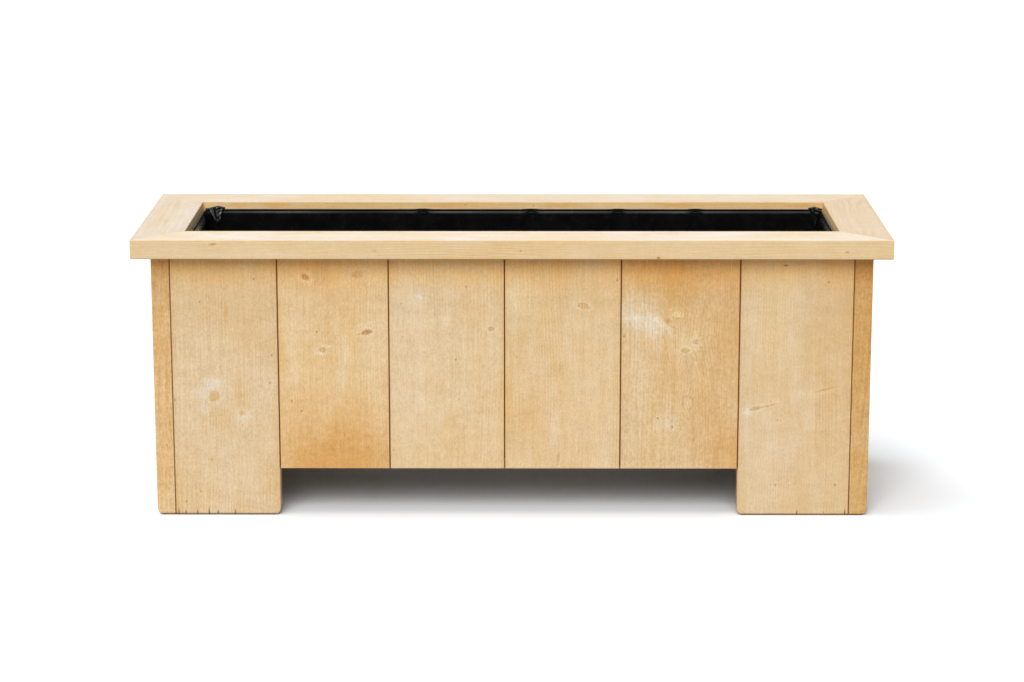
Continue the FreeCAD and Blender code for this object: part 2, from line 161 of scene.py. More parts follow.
class Graph:
    """A tree of shader nodes, built by calls that return the sockets they make."""

    def __init__(self, tree):
        self.tree = tree

    def add(self, kind, inputs, **settings):
        node = self.tree.nodes.new(kind)
        for key, setting in settings.items():
            setattr(node, key, setting)
        for key, given in inputs.items():
            if isinstance(given, bpy.types.NodeSocket):
                self.tree.links.new(given, node.inputs[key])
            else:
                node.inputs[key].default_value = given
        return node

    def math(self, operation, *values):
        return self.add("ShaderNodeMath", dict(enumerate(values)), operation=operation).outputs[0]

    def plus(self, first, second):
        return self.math("ADD", first, second)

    def minus(self, first, second):
        return self.math("SUBTRACT", first, second)

    def times(self, first, second):
        return self.math("MULTIPLY", first, second)

    def vector(self, operation, *values):
        made = self.add("ShaderNodeVectorMath", dict(enumerate(values)), operation=operation)
        return made.outputs["Value" if operation in ("LENGTH", "DOT_PRODUCT") else "Vector"]

    def combine(self, *values):
        return self.add("ShaderNodeCombineXYZ", dict(enumerate(values))).outputs[0]

    def noise(self, position, waves, detail=2, roughness=0.5, offset=None):
        """Noise from 0 to 1, by its waves a metre across and along Z; an offset sets it apart."""
        if offset:
            position = self.vector("ADD", position, offset)
        across, along = waves
        stretched = self.vector("MULTIPLY", position, (across, across, along))
        settings = {"Vector": stretched, "Scale": 1.0, "Detail": detail, "Roughness": roughness}
        return self.add("ShaderNodeTexNoise", settings).outputs["Fac"]

    def between(self, given, low, high, start=0.0, end=1.0):
        """A smooth step from start to end as the given value goes from low to high."""
        settings = {"Value": given, "From Min": low, "From Max": high, "To Min": start, "To Max": end}
        return self.add("ShaderNodeMapRange", settings, interpolation_type="SMOOTHSTEP").outputs["Result"]

    def mix(self, factor, first, second, blend="MIX"):
        inputs = {0: factor, 6: first, 7: second}
        return self.add("ShaderNodeMix", inputs, data_type="RGBA", blend_type=blend).outputs[2]

    def tint(self, colour, tint, strength):
        """The colour multiplied by a tint, as far as the strength says."""
        return self.mix(strength, colour, rgba(tint), "MULTIPLY")

    def bump(self, height, relief, strength):
        inputs = {"Strength": strength, "Distance": relief, "Height": height}
        return self.add("ShaderNodeBump", inputs).outputs[0]

    def group(self, shared, inputs):
        return self.add("ShaderNodeGroup", inputs, node_tree=shared).outputs


def new_group(name, inputs, outputs):
    """A shared group of nodes with float sockets: its graph, its inputs and a call that fills an output."""
    tree = bpy.data.node_groups.new(name, "ShaderNodeTree")
    for way, labels in [("INPUT", inputs), ("OUTPUT", outputs)]:
        for label in labels:
            tree.interface.new_socket(label, in_out=way, socket_type="NodeSocketFloat")
    graph = Graph(tree)
    given = graph.add("NodeGroupInput", {}).outputs
    made = graph.add("NodeGroupOutput", {}).inputs

    def give(label, socket):
        tree.links.new(socket, made[label])

    return graph, given, give


def new_material(name):
    material = bpy.data.materials.new(name)
    material.use_nodes = True
    material.node_tree.nodes.clear()
    return material, Graph(material.node_tree)


def close_material(graph, inputs):
    surface = graph.add("ShaderNodeBsdfPrincipled", inputs)
    graph.add("ShaderNodeOutputMaterial", {"Surface": surface.outputs[0]})


def new_object(name, data):
    made = bpy.data.objects.new(name, data)
    bpy.context.scene.collection.objects.link(made)
    return made


def rgba(colour):
    return (*colour, 1.0)


def tinted(tone, tint):
    return rgba([min(1.0, a * b) for a, b in zip(tone, tint)])


# Pine
def make_grain_group():
    """Growth rings about a wandering pith, with the fibres, blotches and specks of planed pine."""
    graph, given, give = new_group(
        "pine_grain",
        ["Across", "Through", "Along", "Seed", "Pith across", "Pith through", "Swirl"],
        ["Ring", "Fibre", "Streak", "Honey", "Cream", "Mottle", "Sand", "Hair", "Speck"])
    seed = given["Seed"]
    place = graph.combine(given["Across"], given["Through"], given["Along"])
    shift = graph.combine(seed, graph.times(seed, 1.7), graph.times(seed, 2.9))
    place = graph.vector("ADD", place, shift)

    def wander(waves, size, offset):
        return graph.times(graph.minus(graph.noise(place, waves, 1, offset=offset), 0.5), size)

    aside = graph.minus(given["Across"], given["Pith across"])
    aside = graph.plus(aside, wander((2, 1.6), 0.05, (11, 3, 7)))
    deep = graph.minus(given["Through"], given["Pith through"])
    deep = graph.plus(deep, wander((2, 1.9), 0.05, (5, 17, 23)))
    radius = graph.vector("LENGTH", graph.combine(aside, deep))
    radius = graph.plus(radius, wander((26, 4), 0.003, (2, 9, 4)))
    radius = graph.plus(radius, given["Swirl"])
    uneven = graph.noise(graph.combine(graph.plus(radius, seed)), (38, 1))
    phase = graph.plus(graph.math("DIVIDE", radius, RING_WIDTH), graph.times(uneven, 2.5))
    part = graph.math("FRACT", phase)
    line = graph.times(graph.between(part, 0.35, 0.84), graph.between(part, 0.88, 1.0, 1.0, 0.0))
    shown = graph.between(graph.noise(place, SHOWN_WAVES), 0.44, 0.66, 0.08, 1.0)
    near_knot = graph.between(graph.math("ABSOLUTE", given["Swirl"]), 0.0008, 0.005, 0.0, 0.9)
    give("Ring", graph.times(line, graph.math("MAXIMUM", shown, near_knot)))

    give("Fibre", graph.noise(place, FIBRE_WAVES, 3, 0.6))
    give("Streak", graph.noise(place, STREAK_WAVES, 3, 0.55))
    give("Honey", graph.between(graph.noise(place, HONEY_WAVES, 3, 0.55), 0.4, 0.7))
    cream = graph.noise(place, CREAM_WAVES, 3, 0.6, offset=(31, 5, 13))
    give("Cream", graph.between(cream, 0.46, 0.74))
    give("Mottle", graph.noise(place, MOTTLE_WAVES, 3, 0.6, offset=(3, 41, 19)))
    give("Sand", graph.noise(place, SAND_WAVES, 2, 0.6, offset=(9, 3, 1)))
    hair = graph.noise(place, HAIR_WAVES, offset=(7, 2, 29))
    give("Hair", graph.between(hair, 0.64, 0.78))

    cells = graph.vector("MULTIPLY", place, SPECK_CELLS)
    cell = graph.add("ShaderNodeTexVoronoi", {"Vector": cells, "Scale": 1.0}).outputs
    dot = graph.between(cell["Distance"], 0.035, 0.075, 1.0, 0.0)
    chance = graph.vector("DOT_PRODUCT", cell["Color"], (1.0, 0.0, 0.0))
    give("Speck", graph.times(dot, graph.between(chance, 0.24, 0.28, 1.0, 0.0)))
    return graph.tree


def make_knot_group():
    """A knot's heart, broken ring, halo and swirl, by the distance to its middle, which is 1 at its edge."""
    graph, given, give = new_group(
        "pine_knot", ["Distance", "Reach", "Grain"], ["Heart", "Ring", "Halo", "Swirl"])
    far = given["Distance"]
    heart = graph.between(far, 0.62, 1.05, 1.0, 0.0)
    give("Heart", graph.times(heart, graph.between(given["Grain"], 0.32, 0.62, 0.45, 1.0)))
    lines = graph.between(graph.math("FRACT", graph.times(far, 2.3)), 0.3, 0.9, 0.0, 0.5)
    rim = graph.times(graph.between(far, 0.6, 0.9), graph.between(far, 0.98, 1.25, 1.0, 0.0))
    rim = graph.times(rim, graph.between(given["Grain"], 0.4, 0.58, 1.0, 0.15))
    give("Ring", graph.math("MAXIMUM", rim, graph.times(lines, heart)))
    arcs = graph.between(graph.math("FRACT", graph.times(far, 1.7)), 0.25, 0.75, 0.45, 1.0)
    halo = graph.between(far, 0.9, given["Reach"], 1.0, 0.0)
    halo = graph.times(halo, graph.between(far, 0.85, 1.25))
    give("Halo", graph.times(halo, arcs))
    spread = graph.math("DIVIDE", far, graph.times(given["Reach"], 0.8))
    give("Swirl", graph.math("EXPONENT", graph.times(graph.math("POWER", spread, 2.0), -1.0)))
    return graph.tree


GRAIN_GROUP = make_grain_group()
KNOT_GROUP = make_knot_group()


def mark_distance(graph, face_place, mark):
    """How far a point of the board's face is from a mark's middle, in the mark's own half sizes."""
    settings = {"Vector": face_place, "Location": (mark.across, 0.0, mark.along),
                "Rotation": (0.0, math.radians(mark.turn), 0.0),
                "Scale": (mark.width / 2, 1.0, mark.height / 2)}
    placed = graph.add("ShaderNodeMapping", settings, vector_type="TEXTURE").outputs[0]
    ragged = graph.times(graph.minus(graph.noise(face_place, MARK_WAVES), 0.5), MARK_RAGGED)
    return graph.plus(graph.vector("LENGTH", placed), ragged)


def place_knots(graph, face_place, marks):
    """The knots among the marks, each with its parts, and how far they push the rings aside."""
    knots = []
    swirl = 0.0
    for mark in marks:
        if isinstance(mark, Knot):
            far = mark_distance(graph, face_place, mark)
            grain = graph.noise(face_place, KNOT_WAVES)
            parts = graph.group(KNOT_GROUP, {"Distance": far, "Reach": mark.reach, "Grain": grain})
            knots.append((mark, parts))
            swirl = graph.plus(swirl, graph.times(parts["Swirl"], mark.swirl))
    return knots, swirl


def main_figure(graph, grain, tone, edge, figure):
    """The board's own tone with its blotches, rings and hairs, darker where edge comes near to 1."""
    honey = graph.times(grain["Honey"], HONEY_SHARE * figure)
    colour = graph.mix(honey, rgba(tone), tinted(tone, HONEY_TINT))
    colour = graph.mix(graph.times(grain["Cream"], CREAM_SHARE * figure), colour, tinted(tone, CREAM_TINT))
    colour = graph.tint(colour, LATEWOOD_TINT, graph.times(grain["Ring"], RING_SHARE * figure))
    colour = graph.tint(colour, HAIR_TINT, graph.times(grain["Hair"], HAIR_SHARE * figure))
    streaky = graph.between(grain["Streak"], 0.25, 0.75, 0.25, 0.75)
    return graph.tint(colour, EDGE_TINT, graph.times(graph.between(edge, 0.8, 1.02), streaky))


def add_marks(graph, colour, face_place, marks, knots):
    """The colour with the patches among the marks, and with the knots over them."""
    for mark in marks:
        if isinstance(mark, Patch):
            spot = graph.between(mark_distance(graph, face_place, mark), 0.15, 1.1, mark.strength, 0.0)
            colour = graph.tint(colour, mark.tint, spot)
    for mark, parts in knots:
        colour = graph.tint(colour, PALE, graph.times(parts["Halo"], mark.halo))
        colour = graph.tint(colour, mark.heart, graph.times(parts["Heart"], mark.strength))
        colour = graph.tint(colour, RING_TINT, graph.times(parts["Ring"], mark.ring))
    return colour


def add_fine_figure(graph, colour, grain, figure, sandy):
    """The colour with specks, fibres and pores."""
    colour = graph.tint(colour, SPECK_TINT, graph.times(grain["Speck"], SPECK_SHARE))
    fine = 0.0
    for part, size in FINE_FIGURE.items():
        size *= figure * (sandy if part in SANDY_PARTS else 1.0)
        fine = graph.plus(fine, graph.between(grain[part], 0.2, 0.8, -size, size))
    shade = graph.combine(*(graph.math("MULTIPLY_ADD", fine, share, 1.0) for share in FIGURE_HUE))
    return graph.mix(1.0, colour, shade, "MULTIPLY")


def add_painted_rim_shade(graph, colour, along, grain):
    """The colour with painted shade on the wood under the rim."""
    shelter = graph.between(along, RIM_BOTTOM - RIM_SHADE_DEPTH, RIM_BOTTOM - RIM_SHADE_FULL, 0.0, 0.95)
    shelter = graph.times(shelter, graph.between(grain["Mottle"], 0.3, 0.7, 0.6, 1.15))
    return graph.tint(colour, RIM_SHADE_TINT, shelter)


def add_seam_shade(graph, colour, across, along, seam, from_level):
    """The colour with painted shade, a dark line along a seam, from a level upwards."""
    aside = graph.math("ABSOLUTE", graph.minus(across, seam))
    dark = graph.between(aside, SEAM_CORE, SEAM_HALF, 1.0, 0.0)
    dark = graph.times(dark, graph.between(along, from_level - SEAM_FADE, from_level + SEAM_FADE))
    return graph.tint(colour, SEAM_SHADE_TINT, dark)


def pine_material(name, low, high, axes, tone, seed, pith, marks=(), seams=(), figure=1.0, sandy=1.0,
                  sheltered=False, bleach=None):
    """Planed pine for a board between two corners; its pith is placed from the board's middle.

    Seams are places across it, each with the level its painted shade runs up from. A board that stands under
    the rim gets painted shade below it.
    A rim board gets a tint that paints sheen on its upward faces, and its top and side take marks as one
    flat strip.
    """
    across_axis, through_axis, along_axis = axes
    middle = [(a + b) / 2 for a, b in zip(low, high)]
    half_width = (high[across_axis] - low[across_axis]) / 2
    material, graph = new_material(name)
    place = graph.add("ShaderNodeTexCoord", {}).outputs["Object"]
    parts = graph.add("ShaderNodeSeparateXYZ", {0: place}).outputs
    across, through, along = (parts[axis] for axis in axes)
    spread = across
    if bleach:
        spread = graph.plus(across, graph.minus(through, RIM_TOP))
    face_place = graph.combine(spread, 0.0, along)

    knots, swirl = place_knots(graph, face_place, marks)
    grain = graph.group(GRAIN_GROUP, {
        "Across": across, "Through": through, "Along": along, "Seed": seed,
        "Pith across": middle[across_axis] + pith[0], "Pith through": middle[through_axis] + pith[1],
        "Swirl": swirl})
    edge = graph.math("ABSOLUTE", graph.minus(across, middle[across_axis]))
    edge = graph.math("DIVIDE", edge, half_width)
    colour = main_figure(graph, grain, tone, edge, figure)
    colour = add_marks(graph, colour, face_place, marks, knots)
    colour = add_fine_figure(graph, colour, grain, figure, sandy)
    # painted shade under the rim
    if sheltered:
        colour = add_painted_rim_shade(graph, colour, along, grain)
    # painted shade: a dark line along the foot of a leg, where it meets the floor
    if low[along_axis] < FOOT_LINE and along_axis == Z:
        colour = graph.tint(colour, FOOT_SHADE_TINT, graph.between(along, FOOT_CORE, FOOT_LINE, 0.95, 0.0))
    # painted shade in the seams between boards
    for seam, from_level in seams:
        colour = add_seam_shade(graph, colour, across, along, seam, from_level)

    normal = graph.add("ShaderNodeNewGeometry", {}).outputs["True Normal"]
    facing = graph.add("ShaderNodeSeparateXYZ", {0: normal}).outputs
    end = graph.between(graph.math("ABSOLUTE", facing[along_axis]), 0.75, 0.95)
    colour = graph.tint(colour, END_GRAIN_TINT, end)
    # painted sheen: the upward faces of a rim board are tinted paler
    if bleach:
        colour = graph.tint(colour, bleach, graph.between(facing[Z], 0.5, 0.9))
        # painted shade along the rim's lower edge
        lower_edge_shade = graph.between(through, RIM_BOTTOM, RIM_BOTTOM + RIM_EDGE, 0.6, 0.0)
        colour = graph.tint(colour, RIM_EDGE_SHADE_TINT, lower_edge_shade)

    height = graph.plus(graph.times(grain["Ring"], -0.5), grain["Fibre"])
    close_material(graph, {
        "Base Color": colour, "Roughness": graph.between(grain["Fibre"], 0.25, 0.75, *PINE_ROUGHNESS),
        "Specular IOR Level": PINE_SPECULAR, "Normal": graph.bump(height, PINE_RELIEF, 0.25)})
    return material


def dress(name, material):
    """Give a node one material in place of its own."""
    nodes[name].data.materials.clear()
    nodes[name].data.materials.append(material)


def dress_board(name, axes, tone, seed, pith, marks=(), **looks):
    dress(name, pine_material(f"pine_{name}", *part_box(name), axes, tone, seed, pith, marks, **looks))


PIN_KNOT_WIDTH = 0.0048
PIN_KNOT_HEIGHT = 0.006
NICK_LEVEL = 0.004
NICK_WIDTH = 0.0034
NICK_LENGTHS = (0.024, 0.012, 0.018)


def dots(*places):
    """Pin knots, dark and a few millimetres wide."""
    return [Patch(across, along, PIN_KNOT_WIDTH, PIN_KNOT_HEIGHT, BROWN, 0.85) for across, along in places]


def nicks(*places):
    """Small splits at the foot of a leg."""
    return [Patch(across, NICK_LEVEL, NICK_WIDTH, NICK_LENGTHS[number % len(NICK_LENGTHS)], DARK, 0.85)
            for number, across in enumerate(places)]


LEFT_LEG_MARKS = [
    Knot(-0.512, 0.213, 0.019, 0.019, 0, ORANGE_HEART, 0.75, 0.3, 0.85, 2.8, 0.007),
    Patch(-0.516, 0.236, 0.05, 0.026, PALE, 0.85),
    Patch(-0.536, 0.216, 0.022, 0.04, PALE, 0.6),
    Patch(-0.53, 0.19, 0.034, 0.02, PALE, 0.55, 30),
    Knot(-0.4645, 0.182, 0.009, 0.009, 0, ORANGE_HEART, 0.6, 0.1, 0.6, 3.4, 0.004),
    Patch(-0.461, 0.174, 0.044, 0.026, PALE, 0.65, -20),
    Patch(-0.454, 0.353, 0.15, 0.24, HONEY, 0.5),
    Patch(-0.49, 0.035, 0.2, 0.2, PALE, 0.35),
    Patch(-0.489, 0.358, 0.013, 0.04, ORANGE, 0.65, 6),
    *dots((-0.533, 0.378), (-0.44, 0.418), (-0.4156, 0.236), (-0.4116, 0.2845), (-0.5395, 0.042),
          (-0.564, 0.024), (-0.519, 0.099)),
    *nicks(-0.578, -0.566, -0.5455, -0.5255, -0.51, -0.48),
]
BOARD_1_MARKS = [
    Knot(-0.352, 0.4216, 0.016, 0.01, 30, BROWN_HEART, 0.75, 0.35, 0.95, 3.4, 0.006),
    Knot(-0.263, 0.426, 0.019, 0.0105, -8, TAN_HEART, 0.35, 0.5, 0.55, 2.8, 0.005),
    Patch(-0.267, 0.4245, 0.006, 0.005, BROWN, 0.55),
    Knot(-0.2486, 0.325, 0.018, 0.0088, -15, BROWN_HEART, 0.9, 0.8, 0.5, 2.6, 0.005),
    Patch(-0.26, 0.322, 0.018, 0.003, BROWN, 0.55, -18),
    Patch(-0.2735, 0.318, 0.052, 0.012, YELLOW, 0.9, -15),
    Patch(-0.251, 0.338, 0.044, 0.016, PALE, 0.4, -15),
    Knot(-0.324, 0.294, 0.011, 0.0078, 0, TAN_HEART, 0.5, 0.7, 1, 3.6, 0.006),
    Patch(-0.33, 0.288, 0.03, 0.009, PALE, 0.7, 14),
    Patch(-0.313, 0.3005, 0.016, 0.007, PALE, 0.6, -20),
    *dots((-0.334, 0.3257), (-0.3785, 0.2037), (-0.362, 0.1856)),
    Patch(-0.396, 0.275, 0.036, 0.13, ORANGE, 0.6),
    Patch(-0.305, 0.08, 0.28, 0.29, ORANGE, 0.95),
    Patch(-0.3, 0.095, 0.3, 0.18, BROWN, 0.1),
    Patch(-0.29, 0.1, 0.32, 0.16, ORANGE, 0.55),
    Patch(-0.305, 0.185, 0.32, 0.13, ORANGE, 0.38),
    Patch(-0.32, 0.4, 0.27, 0.21, ORANGE, 0.48),
    Patch(-0.33, 0.44, 0.25, 0.12, ORANGE, 0.3),
]
BOARD_2_MARKS = [
    Knot(-0.035, 0.331, 0.0115, 0.0072, 0, TAN_HEART, 0.75, 0.95, 0.75, 3, 0.004),
    Patch(-0.158, 0.3865, 0.022, 0.004, PALE, 0.9, 24),
    Patch(-0.15, 0.3895, 0.012, 0.0028, BROWN, 0.35, -8),
    Patch(-0.1565, 0.387, 0.04, 0.04, PALE, 0.35, 20),
    Patch(-0.1145, 0.344, 0.03, 0.042, PALE, 0.35, 20),
    Patch(-0.158, 0.196, 0.034, 0.05, PALE, 0.2, 20),
    Patch(-0.175, 0.145, 0.12, 0.15, HONEY, 0.5),
    Patch(-0.055, 0.395, 0.17, 0.19, HONEY, 0.5),
    Patch(-0.03, 0.19, 0.08, 0.24, PALE, 0.25),
    *dots((-0.096, 0.277), (-0.078, 0.4046)),
]
BOARD_3_MARKS = [
    Knot(0.122, 0.3715, 0.018, 0.0088, 12, TAN_HEART, 0.25, 0.9, 0.65, 3, 0.005),
    *dots((0.1796, 0.416)),
    Patch(0.08, 0.102, 0.007, 0.034, BROWN, 0.4, 8),
    Patch(0.008, 0.23, 0.13, 0.34, HONEY, 0.62),
    Patch(0.012, 0.389, 0.07, 0.08, CREAM, 0.55),
    Patch(0.15, 0.385, 0.12, 0.12, HONEY, 0.5),
    Patch(0.13, 0.26, 0.12, 0.2, PALE, 0.28),
    Patch(0.085, 0.12, 0.1, 0.1, PALE, 0.28),
]
BOARD_4_MARKS = [
    Patch(0.214, 0.353, 0.13, 0.078, CLOUD, 0.9, 22),
    Patch(0.243, 0.337, 0.11, 0.05, CLOUD, 0.85, 20),
    Patch(0.262, 0.3385, 0.056, 0.018, CREAM, 0.75, 22),
    Patch(0.284, 0.356, 0.044, 0.028, CREAM, 1, 10),
    Patch(0.2665, 0.3455, 0.02, 0.012, AMBER, 1, 24),
    Patch(0.2715, 0.337, 0.032, 0.0034, BROWN, 0.38, 29),
    Knot(0.284, 0.356, 0.026, 0.016, 10, PALE_HEART, 0.8, 0.3, 0, 2, 0.008),
    Patch(0.2836, 0.35, 0.016, 0.0034, BROWN, 0.6, -10),
    Patch(0.307, 0.306, 0.062, 0.058, YELLOW, 0.95),
    Knot(0.303, 0.315, 0.062, 0.08, 0, PALE_HEART, 0, 0, 0, 2, 0.016),
    Knot(0.315, 0.3087, 0.011, 0.0078, 0, TAN_HEART, 0.45, 0.85, 0.6, 2.8, 0.006),
    Knot(0.2975, 0.2936, 0.014, 0.0075, 0, TAN_HEART, 0.45, 0.6, 0.5, 2.6, 0.004),
    Knot(0.302, 0.201, 0.019, 0.024, 0, PALE_HEART, 0.85, 0.35, 0.45, 2, 0.01),
    Patch(0.2635, 0.169, 0.06, 0.05, PALE, 0.6, 20),
    Knot(0.29, 0.165, 0.017, 0.011, -6, PALE_HEART, 1, 0.3, 0.35, 2.2, 0.004),
    *dots((0.2766, 0.158), (0.251, 0.1736), (0.192, 0.318)),
    Patch(0.376, 0.268, 0.075, 0.34, ORANGE, 0.28),
    Patch(0.335, 0.18, 0.11, 0.32, ORANGE, 0.58),
    Patch(0.378, 0.11, 0.1, 0.16, ORANGE, 0.75),
    Patch(0.368, 0.42, 0.09, 0.11, ORANGE, 0.4),
    Patch(0.205, 0.265, 0.09, 0.33, PALE, 0.35),
    Patch(0.252, 0.195, 0.12, 0.18, PALE, 0.38),
    Patch(0.287, 0.295, 0.09, 0.08, PALE, 0.5),
    Patch(0.285, 0.43, 0.26, 0.14, ORANGE, 0.68),
]
RIGHT_LEG_MARKS = [
    Knot(0.418, 0.191, 0.017, 0.007, -14, TAN_HEART, 0.75, 0.75, 0.75, 3, 0.007),
    Patch(0.447, 0.201, 0.07, 0.016, YELLOW, 0.9, -14),
    Patch(0.439, 0.1955, 0.05, 0.0042, BROWN, 0.48, -14),
    Patch(0.405, 0.1845, 0.024, 0.02, PALE, 0.5),
    Patch(0.528, 0.222, 0.08, 0.022, YELLOW, 0.9, -14),
    Patch(0.5385, 0.225, 0.046, 0.005, BROWN, 0.45, -14),
    Patch(0.491, 0.2125, 0.056, 0.03, PALE, 0.3, -14),
    Patch(0.497, 0.2185, 0.018, 0.012, CREAM, 0.6),
    Patch(0.466, 0.442, 0.0115, 0.0048, DARK, 0.75),
    *dots((0.54, 0.413), (0.456, 0.055), (0.559, 0.055)),
    Patch(0.481, 0.0587, 0.007, 0.008, PALE, 0.8),
    Patch(0.575, 0.33, 0.16, 0.52, ORANGE, 0.65),
    Patch(0.445, 0.36, 0.12, 0.24, CREAM, 0.45),
    Patch(0.43, 0.095, 0.22, 0.3, PALE, 0.45),
    *nicks(0.577, 0.494),
]

# Boards of the front wall: tone, place of the pith, strength of the figure, marks
FRONT_BOARDS = {
    "front_left_leg_board": ((0.817, 0.607, 0.36), (-0.16, 0.1), 1.0, LEFT_LEG_MARKS),
    "front_board_1": ((0.872, 0.66, 0.398), (0.17, 0.08), 1.0, BOARD_1_MARKS),
    "front_board_2": ((0.847, 0.638, 0.385), (0.19, 0.09), 0.9, BOARD_2_MARKS),
    "front_board_3": ((0.84, 0.622, 0.365), (-0.18, 0.09), 1.0, BOARD_3_MARKS),
    "front_board_4": ((0.81, 0.582, 0.326), (-0.15, 0.07), 1.2, BOARD_4_MARKS),
    "front_right_leg_board": ((0.82, 0.617, 0.378), (0.17, 0.08), 0.85, RIGHT_LEG_MARKS),
}

# Seams further out than this run down to the floor, beside a leg
OUTER_SEAM = 0.5
for number, (name, (tone, pith, figure, marks)) in enumerate(FRONT_BOARDS.items(), start=1):
    low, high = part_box(name)
    seams = [(edge, 0.0 if abs(edge) > OUTER_SEAM else FOOT_LEVEL) for edge in (low.x, high.x)]
    dress_board(name, LONG_WALL, tone, seed=1.37 * number, pith=pith, marks=marks, seams=seams,
                sheltered=True, figure=figure)

# Unseen knots keep this far from a board's long edges, its foot and its head
KNOT_INSET = 0.02
KNOT_ABOVE_FOOT = 0.12
KNOT_BELOW_HEAD = 0.04


def scattered_knots(low, high, axes, count, seed):
    """A few knots of different kinds, at places drawn from a seed."""
    draw = random.Random(seed)
    across_axis, _, along_axis = axes
    knots = []
    for _ in range(count):
        across = draw.uniform(low[across_axis] + KNOT_INSET, high[across_axis] - KNOT_INSET)
        along = draw.uniform(low[along_axis] + KNOT_ABOVE_FOOT, high[along_axis] - KNOT_BELOW_HEAD)
        width = draw.uniform(0.008, 0.019)
        heart = draw.choice([BROWN_HEART, ORANGE_HEART, TAN_HEART])
        height = width * draw.uniform(0.6, 1.0)
        turn = draw.uniform(-25, 25)
        ring = draw.uniform(0.2, 0.6)
        knots.append(Knot(across, along, width, height, turn, heart, 0.85, ring, 0.5, 2.5, 0.006))
    return knots


BACK_TONES = [(0.845, 0.625, 0.37), (0.835, 0.6, 0.34), (0.85, 0.63, 0.38)]
for number, front_name in enumerate(FRONT_BOARDS):
    name = front_name.replace("front", "back")
    marks = scattered_knots(*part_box(name), LONG_WALL, count=2 + number % 2, seed=100 + number)
    dress_board(name, LONG_WALL, BACK_TONES[number % len(BACK_TONES)], seed=12.1 + 1.61 * number,
                pith=(0.17 * (-1) ** number, -0.09), marks=marks, sheltered=True)

FRONT_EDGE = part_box("left_end_front_board")[0].y
END_BOARDS = {
    "left_end_front_board": ((0.82, 0.571, 0.297), (0.17, 0.09), [
        Patch(FRONT_EDGE, 0.425, 0.12, 0.15, BROWN, 0.2),
    ]),
    "left_end_back_board": ((0.84, 0.61, 0.36), (-0.16, 0.1), []),
    "right_end_front_board": ((0.73, 0.468, 0.198), (0.17, -0.09), [
        Patch(FRONT_EDGE, 0.435, 0.12, 0.08, BROWN, 0.35),
        Patch(FRONT_EDGE, 0.3, 0.12, 0.24, HONEY, 0.55),
        Patch(FRONT_EDGE, 0.04, 0.12, 0.24, PALE, 1),
    ]),
    "right_end_back_board": ((0.83, 0.6, 0.35), (-0.16, -0.1), []),
}
for number, (name, (tone, pith, marks)) in enumerate(END_BOARDS.items()):
    marks = marks + scattered_knots(*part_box(name), SHORT_WALL, count=2, seed=200 + number)
    dress_board(name, SHORT_WALL, tone, seed=23.1 + 1.6 * number, pith=pith, marks=marks,
                sheltered=True, figure=1.5)

# A mark on the side of the rim is placed by taking its depth below the top from the place of that side
RIM_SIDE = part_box("rim_front")[0].y
REAR_INNER_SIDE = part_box("rim_back")[0].y
REAR_STAINS = [(-0.5, 0.08), (-0.43, 0.07), (-0.13, 0.1), (0.1, 0.12), (0.3, 0.1), (0.52, 0.08)]
# Rim boards: tone, tint of the painted sheen on their tops, marks
RIM_BOARDS = {
    "rim_front": ((0.862, 0.665, 0.408), (1.01, 1.125, 1.45), [
        Patch(RIM_SIDE - 0.007, -0.505, 0.005, 0.016, BROWN, 0.8),
        Patch(RIM_SIDE - 0.03, 0.248, 0.006, 0.008, DARK, 0.7),
        Patch(RIM_SIDE - 0.02, 0.566, 0.006, 0.01, BROWN, 0.6),
        Patch(RIM_SIDE - 0.018, -0.232, 0.006, 0.012, BROWN, 0.35),
        Patch(RIM_SIDE - 0.018, 0.015, 0.0045, 0.006, BROWN, 0.7),
        Patch(-0.153, -0.332, 0.01, 0.013, ORANGE, 0.9),
        Patch(-0.19, -0.425, 0.012, 0.014, ORANGE, 0.75),
        Patch(-0.175, -0.5, 0.018, 0.03, ORANGE, 0.4),
    ]),
    "rim_back": ((0.96, 0.7, 0.375), (0.825, 0.93, 1.27), [
        Patch(REAR_INNER_SIDE - 0.007, along, 0.012, length, ORANGE, 0.6) for along, length in REAR_STAINS
    ]),
    # painted light: the left rim's tone is raised to light its inner face, and its top sheen is lowered to
    # match
    "rim_left": ((0.99, 0.775, 0.485), (0.782, 0.867, 1.157), []),
    "rim_right": ((0.84, 0.6, 0.33), (0.89, 0.965, 1.19), []),
}
for number, (name, (tone, bleach, marks)) in enumerate(RIM_BOARDS.items()):
    axes = RIM_LONG if number < 2 else RIM_SHORT
    dress_board(name, axes, tone, seed=30.3 + 1.9 * number, pith=(0.02, 0.1), marks=marks, bleach=bleach,
                figure=0.95, sandy=0.4)

BATTEN_TONE = (0.56, 0.5, 0.42)
for row, level in enumerate(["top", "bottom"]):
    for number, side in enumerate(["front", "back", "left", "right"]):
        axes = RAIL_LONG if number < 2 else RAIL_SHORT
        dress_board(f"{level}_rail_{side}", axes, BATTEN_TONE, seed=41.0 + 2.3 * number + 11.7 * row,
                    pith=(0.02, 0.05))

FLOOR_TONE = (0.5, 0.46, 0.41)
FLOOR_NAMES = [f"floor_board_{number}" for number in range(1, 7)]
for number, name in enumerate(FLOOR_NAMES, start=1):
    dress_board(name, FLOOR_BOARD, FLOOR_TONE, seed=70.0 + 1.9 * number, pith=(0.01, -0.09))

# Steel
BRAD_STEEL = (0.6, 0.59, 0.57)
BRAD_ROUGHNESS = (0.35, 0.55)
STAPLE_STEEL = (0.06, 0.058, 0.056)
STAPLE_ROUGHNESS = (0.5, 0.65)
TARNISH_TINT = (0.62, 0.55, 0.47)


